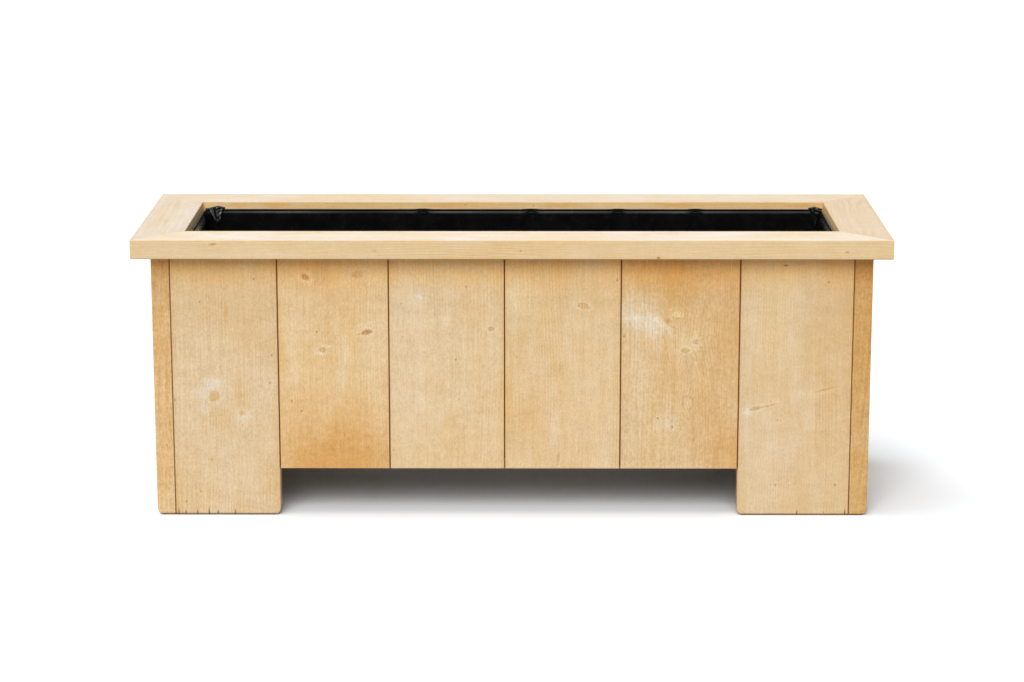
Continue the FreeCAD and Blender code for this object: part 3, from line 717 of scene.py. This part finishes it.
def steel_material(name, colour, roughness):
    """Drawn wire with faint streaks and a little tarnish."""
    material, graph = new_material(name)
    place = graph.add("ShaderNodeTexCoord", {}).outputs["Object"]
    tarnish = graph.between(graph.noise(place, (900, 900), 3), 0.45, 0.75)
    worn = graph.mix(tarnish, rgba(colour), tinted(colour, TARNISH_TINT))
    rough = graph.between(graph.noise(place, (2400, 300)), 0.3, 0.7, *roughness)
    close_material(graph, {"Base Color": worn, "Roughness": rough, "Metallic": 1.0})
    return material


for name in ["board_brads", "frame_brads", "rim_brads", "floor_brads"]:
    dress(name, steel_material(f"steel_{name}", BRAD_STEEL, BRAD_ROUGHNESS))
dress("liner_staples", steel_material("steel_staples", STAPLE_STEEL, STAPLE_ROUGHNESS))

# Film
FILM_BLACK = (0.0035, 0.0035, 0.0037, 1.0)
FILM_HAZE = (0.0065, 0.0065, 0.0068, 1.0)
FILM_ROUGHNESS = (0.2, 0.28)
FILM_SPECULAR = 0.5
FILM_RELIEF = 0.0006


def film_material():
    """Black polythene film: nearly smooth, with a fine haze and small creases."""
    material, graph = new_material("black_film")
    place = graph.add("ShaderNodeTexCoord", {}).outputs["Object"]
    haze = graph.noise(place, (22, 22), 4, 0.6)
    colour = graph.mix(graph.between(haze, 0.4, 0.75), FILM_BLACK, FILM_HAZE)
    rough = graph.between(graph.noise(place, (60, 60), 4, 0.65), 0.3, 0.7, *FILM_ROUGHNESS)
    crease = graph.noise(place, (75, 55), 3, 0.6)
    grain = graph.noise(place, (900, 900))
    height = graph.plus(graph.times(crease, 2.0), graph.times(grain, 0.15))
    close_material(graph, {"Base Color": colour, "Roughness": rough, "Specular IOR Level": FILM_SPECULAR,
                           "Normal": graph.bump(height, FILM_RELIEF, 0.2)})
    return material


FILM = film_material()

# The film's sizes: it stands just inside the part's liner, tighter at a corner's foot than at its head
FILM_THICKNESS = 0.0006
FILM_OFF_WALL = 0.0012
FILM_TOP = 0.4792
FILM_FILLET = 0.012
CORNER_HEAD = 0.024
CORNER_FOOT = 0.012
CORNER_SPAN = 0.045
DRAIN_RADIUS = 0.005
DRAIN_SIDES = 24
DRAIN_DEPTH = 0.04
LINER_LOW, LINER_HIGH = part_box("liner")
HALF_LENGTH = LINER_HIGH.x - FILM_OFF_WALL
HALF_DEPTH = LINER_HIGH.y - FILM_OFF_WALL
FILM_BOTTOM = LINER_LOW.z + FILM_OFF_WALL

# The hem, folded over outwards and stapled to the rim; it hides the staples that are not named here
HEM_FOLD = 0.0016
HEM_CREST = 0.0003
HEM_GAP = 0.0012
HEM_LIP = 0.0022
HEM_OVERHANG = 0.0006
HEM_BULGE = 0.0011
HEM_FACE = 0.0062
END_BULGE = 0.011
END_FACE = 0.018
HEM_REACH = 0.045
HEM_SAG = 0.0008
HEM_SAG_REACH = 0.03
HEM_TUCK = 0.009
STAPLE_HOLD = 0.012
STAPLES = {
    "rear": (-0.1627, 0.0337, 0.1908, 0.3311),
    "front": (0.4826, 0.3367, 0.1627, -0.0337, -0.1908, -0.3311, -0.4882),
}

# Folds of the walls: creases by their places, ridges of the corners by place, height and width
CREASES = {
    "rear": (-0.424, -0.28, -0.06, 0.056, 0.27, 0.41),
    "front": (-0.39, -0.215, 0.09, 0.24, 0.43),
    "end": (-0.035, 0.02),
}
CREASE_HEIGHT = 0.0014
CREASE_WIDTH = 0.0019
CREASE_DRIFT = 0.008
CORNER_RIDGES = [(0.33, 0.0014, 0.004), (0.62, 0.0018, 0.003)]
CORNER_RUN = 0.09
PUCKER = 0.0018
PUCKER_REACH = 0.03
PUCKER_CORE = 0.004
PUCKER_START = 0.01
PUCKER_WIDTH = 0.0022
PUCKER_SPREAD = 0.1
PUCKER_TURNS = (-0.75, -0.35, 0.4, 0.8)
WALL_CRUMPLE = 0.004
CRUMPLE_FROM = 0.03
CRUMPLE_SPAN = 0.12
FLOOR_CRUMPLE = 0.005
CRUMPLE_SEED = 1

# The film's mesh: points along the walls and corners, rows of its parts from the floor up to the tuck
LONG_POINTS = 261
SHORT_POINTS = 49
CORNER_POINTS = 40
FLOOR_ROWS = 27
FILLET_ROWS = 7
WALL_ROWS = (30, 22, 10)
CREST_ROWS = 5
TUCK_ROWS = 4
UPPER_BAND = 0.078
HEM_BAND = 0.012


def corner_radius(level):
    """The film bridges the corner, more at its head than at its foot."""
    share = (level - FILM_BOTTOM) / (FILM_TOP - FILM_BOTTOM)
    return CORNER_FOOT + (CORNER_HEAD - CORNER_FOOT) * share


def corner_point(share, radius):
    """A point of the rear right corner, from the rear wall to the right wall, and its way into the box."""
    straight = CORNER_SPAN - radius
    bend = math.pi / 2 * radius
    far = share * (2 * straight + bend)
    if far < straight:
        return (HALF_LENGTH - CORNER_SPAN + far, HALF_DEPTH), (0.0, -1.0)
    if far > straight + bend:
        return (HALF_LENGTH, HALF_DEPTH - radius - (far - straight - bend)), (-1.0, 0.0)
    angle = (far - straight) / radius
    centre = (HALF_LENGTH - radius, HALF_DEPTH - radius)
    out = (math.sin(angle), math.cos(angle))
    return (centre[0] + radius * out[0], centre[1] + radius * out[1]), (-out[0], -out[1])


Column = namedtuple("Column", "wall side_x side_y place")


def film_columns():
    """The film's columns in order round the box, each on the rear or front wall, an end or a corner."""
    long_end = HALF_LENGTH - CORNER_SPAN
    short_end = HALF_DEPTH - CORNER_SPAN
    long_run = np.linspace(-long_end, long_end, LONG_POINTS)
    short_run = np.linspace(short_end, -short_end, SHORT_POINTS)
    turn = np.linspace(0, 1, CORNER_POINTS)[1:-1]
    columns = []
    for wall, side in [("rear", 1), ("front", -1)]:
        columns += [Column(wall, 0, side, place) for place in side * long_run]
        columns += [Column("corner", side, side, share) for share in turn]
        columns += [Column("end", side, 0, place) for place in side * short_run]
        columns += [Column("corner", side, -side, share) for share in turn[::-1]]
    return columns


def wall_point(column, level):
    """Where a column of film stands against the walls at a level, and the way into the box."""
    if column.wall == "corner":
        (x, y), (way_x, way_y) = corner_point(column.place, corner_radius(level))
        return (x * column.side_x, y * column.side_y), (way_x * column.side_x, way_y * column.side_y)
    if column.wall == "end":
        return (HALF_LENGTH * column.side_x, column.place), (-column.side_x, 0.0)
    return (column.place, HALF_DEPTH * column.side_y), (0.0, -column.side_y)


def slack(column):
    """How free the hem is: 0 where a staple holds it, 1 away from the staples."""
    loose = 1.0
    for place in STAPLES.get(column.wall, ()):
        loose *= 1 - math.exp(-(abs(column.place - place) / STAPLE_HOLD) ** 3)
    return loose


def ridge(offset, width):
    return math.exp(-(offset / width) ** 2)


def wrinkle(here, size, spread):
    """Crumpled film: flat facets that meet in creases, from 0 to 1."""
    cells = noise.voronoi(here * size)[0]
    facet = min(1.0, (cells[1] - cells[0]) * 2.4)
    return (1 - spread) * facet + spread * (0.5 + 0.5 * noise.noise(here * size * 0.7))


def crumple(here):
    """Film that was folded and laid out again: soft swells crossed by creases, from 0 to 1."""
    here = here + 0.03 * noise.noise_vector(here * 6)
    swell = 0.5 + 0.5 * noise.noise(here * 5)
    fold = (1 - abs(noise.noise(here * 9 + Vector((3, 8, 5))))) ** 7
    crease = (1 - abs(noise.noise(here * 21 + Vector((9, 1, 4))))) ** 6
    return 0.35 * swell + 0.4 * fold + 0.25 * crease


def wall_folds(column, point, level):
    """How far the film stands off its wall: its creases, puckers and crumples."""
    below = FILM_TOP - level
    stand = 0.0
    if column.wall == "corner":
        for place, height, width in CORNER_RIDGES:
            stand += height * ridge((column.place - place) * CORNER_RUN, width)
    else:
        for number, place in enumerate(CREASES[column.wall]):
            here = Vector((place * 9, 3.0 * column.side_x + column.side_y, level * 9))
            drift = CREASE_DRIFT * noise.noise(here)
            height = CREASE_HEIGHT * (0.65 + 0.35 * math.sin(number * 2.4))
            stand += height * ridge(column.place - place - drift, CREASE_WIDTH)
        for place in STAPLES.get(column.wall, ()):
            aside = column.place - place
            far = math.hypot(aside, below)
            if far < 4 * PUCKER_REACH:
                angle = math.atan2(aside, below + PUCKER_CORE)
                fade = math.exp(-far / PUCKER_REACH) * min(1.0, far / PUCKER_START)
                width = PUCKER_WIDTH + PUCKER_SPREAD * far
                for turn in PUCKER_TURNS:
                    stand += PUCKER * fade * ridge((angle - turn) * max(far, PUCKER_CORE), width)
    here = Vector((point[0], point[1], level * 0.7))
    lower = min(1.0, max(0.0, below - CRUMPLE_FROM) / CRUMPLE_SPAN)
    stand += WALL_CRUMPLE * (0.1 + 0.9 * lower) * crumple(here)
    return stand


def stand_off(column, point, level):
    """How far the film's face stands off its wall, with the bulge of the hem at its top."""
    below = FILM_TOP - level
    loose = slack(column)
    toward_end = 1.0 if column.wall == "end" else 0.0
    if column.wall == "corner":
        toward_end = max(0.0, 2 * column.place - 1) ** 2
    bulge = HEM_BULGE + (END_BULGE - HEM_BULGE) * toward_end
    depth = HEM_FACE + (END_FACE - HEM_FACE) * toward_end
    face = (1 - math.cos(min(1.0, max(0.0, below - HEM_LIP) / depth) * math.pi)) / 2
    uneven = 0.85 + 0.45 * noise.noise(Vector((point[0] * 7, point[1] * 7, 0.3)))
    lip = HEM_OVERHANG * max(0.0, 1 - below / HEM_LIP)
    hem = HEM_FOLD + lip + loose * (HEM_GAP + bulge * uneven * face)
    hold = math.exp(-(below / HEM_REACH) ** 2)
    return hem * hold + wall_folds(column, point, level) * (1 - 0.85 * hold)


def film_rows():
    """The film's rows from the middle of its floor, up the walls and over the hem, as kinds with places."""
    levels = (FILM_BOTTOM + FILM_FILLET, FILM_TOP - UPPER_BAND, FILM_TOP - HEM_BAND, FILM_TOP)
    rows = [("floor", share) for share in np.linspace(0, 1, FLOOR_ROWS)]
    rows += [("fillet", angle) for angle in np.linspace(0.0, math.pi / 2, FILLET_ROWS)[1:]]
    for low, high, count in zip(levels, levels[1:], WALL_ROWS):
        rows += [("wall", level) for level in np.linspace(low, high, count)[1:]]
    rows += [("crest", angle) for angle in np.linspace(0.0, math.pi, CREST_ROWS)[1:]]
    rows += [("tuck", drop) for drop in np.linspace(0.0, HEM_TUCK, TUCK_ROWS)[1:]]
    return rows


def floor_lift(x, y):
    return FLOOR_CRUMPLE * crumple(Vector((x, y, 0.0)))


def film_vertex(column, kind, place):
    if kind == "floor":
        (x, y), (way_x, way_y) = wall_point(column, FILM_BOTTOM)
        edge = np.array((x + way_x * FILM_FILLET, y + way_y * FILM_FILLET))
        spine = HALF_LENGTH - HALF_DEPTH
        middle = np.array((min(max(x, -spine), spine), 0.0))
        spot = middle + (edge - middle) * place
        return (*spot, FILM_BOTTOM + floor_lift(*spot))
    if kind == "fillet":
        level = FILM_BOTTOM + FILM_FILLET * (1 - math.cos(place))
        (x, y), (way_x, way_y) = wall_point(column, level)
        share = place / (math.pi / 2)
        lift = floor_lift(x + way_x * FILM_FILLET, y + way_y * FILM_FILLET)
        inset = FILM_FILLET * (1 - math.sin(place)) + share * stand_off(column, (x, y), level)
        return (x + way_x * inset, y + way_y * inset, level + lift * (1 - share))
    level = place if kind == "wall" else FILM_TOP
    (x, y), (way_x, way_y) = wall_point(column, level)
    inset = stand_off(column, (x, y), level)
    height = level - HEM_SAG * slack(column) * math.exp(-(FILM_TOP - level) / HEM_SAG_REACH)
    if kind == "crest":
        inset -= HEM_FOLD / 2 * (1 - math.cos(place))
        height += HEM_CREST * math.sin(place)
    if kind == "tuck":
        inset -= HEM_FOLD
        height -= place
    return (x + way_x * inset, y + way_y * inset, height)


def link_film(name, grid, closed):
    """A piece of film from a grid of points, as wide as the rows and thickened away from its face."""
    mesh = bpy.data.meshes.new(name)
    made = bmesh.new()
    corners = [[made.verts.new(point) for point in row] for row in grid]
    count = len(corners[0])
    for lower, upper in zip(corners, corners[1:]):
        for index in range(count if closed else count - 1):
            after = (index + 1) % count
            made.faces.new((lower[index], lower[after], upper[after], upper[index]))
    bmesh.ops.remove_doubles(made, verts=corners[0], dist=1e-5)
    for face in made.faces:
        face.smooth = True
    made.to_mesh(mesh)
    made.free()
    mesh.materials.append(FILM)
    piece = new_object(name, mesh)
    thick = piece.modifiers.new("thickness", "SOLIDIFY")
    thick.thickness = FILM_THICKNESS
    thick.offset = -1.0
    return piece


def cut_drains(film):
    """Open the film over the gaps between the floor boards, and keep what the modifiers make of it."""
    made = bmesh.new()
    for before, after in zip(FLOOR_NAMES, FLOOR_NAMES[1:]):
        gap = (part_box(before)[1].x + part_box(after)[0].x) / 2
        turned = bmesh.ops.create_cone(made, cap_ends=True, segments=DRAIN_SIDES, radius1=DRAIN_RADIUS,
                                       radius2=DRAIN_RADIUS, depth=DRAIN_DEPTH)
        bmesh.ops.translate(made, verts=turned["verts"], vec=(gap, 0.0, FILM_BOTTOM))
    mesh = bpy.data.meshes.new("drain_cutter")
    made.to_mesh(mesh)
    made.free()
    cutter = new_object("drain_cutter", mesh)
    cut = film.modifiers.new("drains", "BOOLEAN")
    cut.object = cutter
    cut.operation = "DIFFERENCE"
    shape = film.evaluated_get(bpy.context.evaluated_depsgraph_get())
    finished = bpy.data.meshes.new_from_object(shape)
    film.modifiers.clear()
    film.data = finished
    bpy.data.objects.remove(cutter)


noise.seed_set(CRUMPLE_SEED)
columns = film_columns()
film_grid = [[film_vertex(column, kind, place) for column in columns] for kind, place in film_rows()]
liner = link_film("liner_film", film_grid, closed=True)
cut_drains(liner)

# Ears: the film's spare width at a corner, gathered into pleats and folded over the hem of a long wall
Ear = namedtuple("Ear", "name side_x side_y start width peak tip rise drop lean seed")
EARS = [
    Ear("liner_ear_rear_left", -1, 1, 0.004, 0.035, 0.66, 0.64, 0.0055, 0.0255, 0.0055, 3.1),
    Ear("liner_ear_rear_right", 1, 1, 0.001, 0.025, 0.55, 0.6, 0.0045, 0.034, 0.003, 7.7),
    Ear("liner_ear_front_left", -1, -1, 0.003, 0.03, 0.6, 0.55, 0.0045, 0.024, 0.005, 11.9),
    Ear("liner_ear_front_right", 1, -1, 0.004, 0.032, 0.62, 0.6, 0.0045, 0.026, 0.004, 15.3),
]
EAR_PLEATS = 2.4
EAR_PLEAT_DEPTH = 0.0021
EAR_CRUMPLE = 0.0016
EAR_NARROW = 0.82
EAR_BEHIND = 0.008
EAR_ROOT = 0.0012
EAR_FOLD = 0.003
EAR_CREST = 0.007
EAR_LEAST = 0.001
EAR_SAG = 0.0015
EAR_SKEW = 0.008
EAR_CURL = 0.0045
EAR_WIDE_POINTS = 34
EAR_LONG_POINTS = 44

# Where along an ear its fold over the hem begins, and where it starts to hang down
EAR_OVER = 0.2
EAR_DOWN = 0.4


def ear_point(ear, u, v):
    """A point of an ear: u runs from the corner along the wall, v from behind the hem to the tip."""
    if u < ear.peak:
        top = ear.rise * u / ear.peak
    else:
        top = ear.rise * (1 - 0.6 * (u - ear.peak) / (1 - ear.peak))
    narrow = 0.0
    if v < EAR_OVER:
        share = v / EAR_OVER
        deep = EAR_ROOT + (EAR_FOLD - EAR_ROOT) * share
        level = (EAR_BEHIND + top) * math.sin(share * math.pi / 2) - EAR_BEHIND
    elif v < EAR_DOWN:
        share = (v - EAR_OVER) / (EAR_DOWN - EAR_OVER)
        deep = EAR_FOLD + (EAR_CREST - EAR_FOLD) * math.sin(share * math.pi / 2)
        level = top - EAR_SAG * share ** 2
    else:
        share = (v - EAR_DOWN) / (1 - EAR_DOWN)
        deep = EAR_CREST + ear.lean * share
        foot = ear.drop - EAR_SKEW * abs(u - ear.tip)
        level = (top - EAR_SAG) * (1 - share) - foot * share
        narrow = EAR_NARROW * share
    along = ear.start + ear.width * (u + (ear.tip - u) * narrow)
    weight = math.sin(math.pi * min(1.0, max(0.0, v - 0.08) / 1.1))
    pleat = abs(2 * ((u * EAR_PLEATS + 0.15 * ear.seed + 0.25 * v) % 1.0) - 1)
    deep += EAR_PLEAT_DEPTH * weight * (pleat - 0.35)
    deep -= EAR_CURL * weight * (math.exp(-u / 0.09) + math.exp(-(1 - u) / 0.09))
    here = Vector((u * 0.9 + ear.seed, v * 1.3, ear.seed))
    deep += EAR_CRUMPLE * weight * (wrinkle(here, 3.2, 0.5) - 0.4)
    level += 0.001 * weight * noise.noise(here * 4)
    along += 0.0012 * weight * noise.noise(here * 3 + Vector((5, 1, 2)))
    deep = max(deep, EAR_LEAST)
    return (ear.side_x * (LINER_HIGH.x - along), ear.side_y * (LINER_HIGH.y - deep), FILM_TOP + level)


ears = []
for ear in EARS:
    order = np.linspace(0, 1, EAR_WIDE_POINTS)
    if ear.side_x * ear.side_y > 0:
        order = order[::-1]
    ear_grid = [[ear_point(ear, u, v) for u in order] for v in np.linspace(1, 0, EAR_LONG_POINTS)]
    ears.append(link_film(ear.name, ear_grid, closed=False))

# The film and its ears ride on the root, and the part's own liner is hidden
for piece in [liner, *ears]:
    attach(piece, "root")
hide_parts("liner")


# Stage
def seen_directly(graph):
    """1 for rays that show the background itself, 0 for light that bounces on the object."""
    path = graph.add("ShaderNodeLightPath", {}).outputs
    shiny = graph.math("MAXIMUM", path["Is Glossy Ray"], path["Is Transmission Ray"])
    return graph.math("MAXIMUM", path["Is Camera Ray"], shiny)


def make_floor():
    mesh = bpy.data.meshes.new("floor")
    half = FLOOR_SIZE / 2
    corners = [(-half, -half, 0), (half, -half, 0), (half, half, 0), (-half, half, 0)]
    mesh.from_pydata(corners, [], [(0, 1, 2, 3)])
    floor = new_object("floor", mesh)
    material, graph = new_material("floor_white")
    colour = graph.mix(seen_directly(graph), FLOOR_BOUNCE, FLOOR_SEEN)
    close_material(graph, {"Base Color": colour, "Roughness": 1.0, "Specular IOR Level": 0.0})
    mesh.materials.append(material)


def make_world():
    world = bpy.data.worlds.new("studio")
    world.use_nodes = True
    world.node_tree.nodes.clear()
    graph = Graph(world.node_tree)
    toward = graph.add("ShaderNodeTexCoord", {}).outputs["Generated"]
    behind = graph.add("ShaderNodeSeparateXYZ", {0: toward}).outputs["Y"]
    strength = graph.between(behind, -SKY_TURN, SKY_TURN, SKY_FRONT, SKY_BACK)
    dim = graph.add("ShaderNodeBackground", {"Color": SKY_COLOUR, "Strength": strength})
    white = graph.add("ShaderNodeBackground", {"Color": (1.0, 1.0, 1.0, 1.0)})
    shaders = {0: seen_directly(graph), 1: dim.outputs[0], 2: white.outputs[0]}
    both = graph.add("ShaderNodeMixShader", shaders)
    graph.add("ShaderNodeOutputWorld", {"Surface": both.outputs[0]})
    bpy.context.scene.world = world


def make_suns():
    for sun in SUNS:
        azimuth = math.radians(sun.azimuth)
        elevation = math.radians(sun.elevation)
        level = math.cos(elevation)
        toward = Vector((level * math.sin(azimuth), -level * math.cos(azimuth), math.sin(elevation)))
        data = bpy.data.lights.new(sun.name, "SUN")
        data.energy = math.pi * sun.floor_light / math.sin(elevation)
        data.angle = math.radians(sun.width)
        lamp = new_object(sun.name, data)
        lamp.rotation_euler = toward.to_track_quat("Z", "Y").to_euler()


def make_camera():
    data = bpy.data.cameras.new("camera")
    data.sensor_width = SENSOR_WIDTH
    data.lens = SENSOR_WIDTH * FOCAL_PIXELS / PHOTO_WIDTH
    data.clip_end = CAMERA_SIGHT
    camera = new_object("camera", data)
    camera.location = CAMERA_PLACE
    camera.rotation_euler = (math.pi / 2 - CAMERA_PITCH, CAMERA_ROLL, CAMERA_TURN)
    bpy.context.scene.camera = camera


make_floor()
make_world()
make_suns()
make_camera()
bpy.context.scene.view_settings.view_transform = "Standard"
